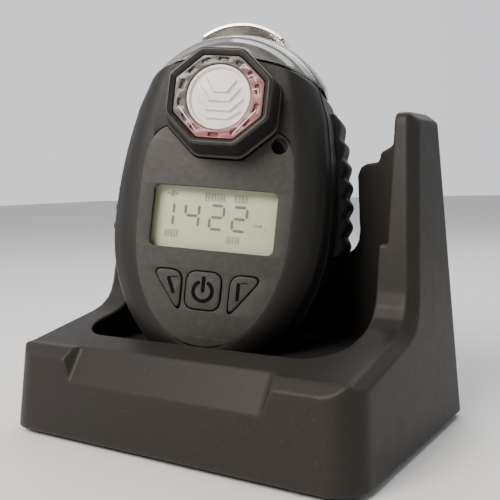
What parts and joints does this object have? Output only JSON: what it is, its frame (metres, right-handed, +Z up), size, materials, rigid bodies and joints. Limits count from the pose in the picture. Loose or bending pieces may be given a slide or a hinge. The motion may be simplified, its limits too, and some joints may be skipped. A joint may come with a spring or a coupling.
{
  "type": "portable gas detector in charging dock",
  "caption": "Egg-shaped rubber-armoured gas detector with octagonal sensor cap, display and keys, standing in an open charging dock with tall side arms.",
  "frame": {"origin": "on the ground, under the middle of the whole unit", "axes": "+Z up, +X to the right and -Y towards a person facing the front of the dock"},
  "size_m": [0.1214, 0.0846, 0.1316],
  "materials": {
    "dock_plastic": "dark warm-grey moulded plastic with a fine sparkle texture",
    "armour_rubber": "black over-moulded rubber, fine matte texture, slightly lighter on worn edges",
    "panel_plastic": "flat matte warm dark-grey plastic, fine speckle",
    "cap_plastic": "smooth satin black plastic",
    "sensor_tint": "clear plastic with a red tint",
    "sensor_clear": "clear to milky plastic with moulded ridges",
    "alarm_clear": "clear grey plastic light dome",
    "window_clear": "clear flat display window",
    "display_face": "pale green-grey liquid crystal glass with dark segments",
    "key_plastic": null,
    "filter_white": "white porous filter and white sensor housing",
    "seal_rubber": "soft black rubber",
    "clip_steel": "bright warm stainless spring steel, polished edges",
    "fastener_steel": "dark zinc-plated steel",
    "contact_gold": "gold-plated contact metal",
    "board_green": "green circuit board with solder mask",
    "battery_wrap": "blue shrink wrap over a flat cell"
  },
  "bodies": {
    "dock": {"dock_shell": "dock_plastic", "dock_base": "dock_plastic", "dock_board": "board_green", "power_inlet": "fastener_steel", "cradle_seat": "cap_plastic", "pin_barrel_left": "contact_gold", "pin_barrel_right": "contact_gold", "dock_foot_1": "seal_rubber", "dock_screw_1": "fastener_steel", "dock_foot_2": "seal_rubber", "dock_screw_2": "fastener_steel", "dock_foot_3": "seal_rubber", "dock_screw_3": "fastener_steel", "dock_foot_4": "seal_rubber", "dock_screw_4": "fastener_steel"},
    "detector": {"front_housing": "armour_rubber", "rear_housing": "armour_rubber", "housing_seal": "seal_rubber", "side_grip_left": "armour_rubber", "side_grip_right": "armour_rubber", "front_panel": "panel_plastic", "display_window": "window_clear", "display_module": "display_face", "keypad": "seal_rubber", "main_board": "board_green", "battery": "battery_wrap", "vibration_motor": "fastener_steel", "sensor_cap": "cap_plastic", "sensor_frame": "sensor_tint", "sensor_lens": "sensor_clear", "gas_filter": "filter_white", "sensor_gasket": "seal_rubber", "sensor_cell": "filter_white", "sensor_board": "board_green", "buzzer": "cap_plastic", "buzzer_mesh": "fastener_steel", "alarm_dome": "alarm_clear", "alarm_light_board": "board_green", "clip_bracket": "fastener_steel", "clip_pin": "clip_steel", "clip_spring": "clip_steel", "rear_screw_1": "fastener_steel", "rear_screw_2": "fastener_steel", "rear_screw_3": "fastener_steel", "rear_screw_4": "fastener_steel", "charge_contact_left": "contact_gold", "charge_contact_right": "contact_gold"},
    "power_button": {"power_button": "key_plastic"},
    "left_button": {"left_button": "key_plastic"},
    "right_button": {"right_button": "key_plastic"},
    "belt_clip": {"belt_clip": "clip_steel"},
    "charge_pin_left": {"charge_pin_left": "contact_gold"},
    "charge_pin_right": {"charge_pin_right": "contact_gold"}
  },
  "joints": [
    {"name": "detector_lift", "type": "slide", "parent": "dock", "child": "detector", "axis": [0.0424, 0.1729, 0.984], "range_m": [0, 0.09]},
    {"name": "power_button_press", "type": "slide", "parent": "detector", "child": "power_button", "axis": [-0.3626, 0.9204, -0.1461], "range_m": [0, 0.0008], "stiffness_N_per_m": 400, "springref_m": -0.0004},
    {"name": "left_button_press", "type": "slide", "parent": "detector", "child": "left_button", "axis": [-0.3626, 0.9204, -0.1461], "range_m": [0, 0.0008], "stiffness_N_per_m": 400, "springref_m": -0.0004},
    {"name": "right_button_press", "type": "slide", "parent": "detector", "child": "right_button", "axis": [-0.3626, 0.9204, -0.1461], "range_m": [0, 0.0008], "stiffness_N_per_m": 400, "springref_m": -0.0004},
    {"name": "clip_squeeze", "type": "hinge", "parent": "detector", "child": "belt_clip", "pos_m": [-0.01219, 0.02795, 0.08786], "axis": [0.931, 0.3506, -0.1017], "range_deg": [0, 8], "stiffness_Nm_per_rad": 0.4, "springref_deg": -11.46},
    {"name": "charge_pin_left_press", "type": "slide", "parent": "dock", "child": "charge_pin_left", "axis": [0.0424, 0.1729, 0.984], "range_m": [-0.0015, 0], "stiffness_N_per_m": 100, "springref_m": 0.001},
    {"name": "charge_pin_right_press", "type": "slide", "parent": "dock", "child": "charge_pin_right", "axis": [0.0424, 0.1729, 0.984], "range_m": [-0.0015, 0], "stiffness_N_per_m": 100, "springref_m": 0.001}
  ]
}
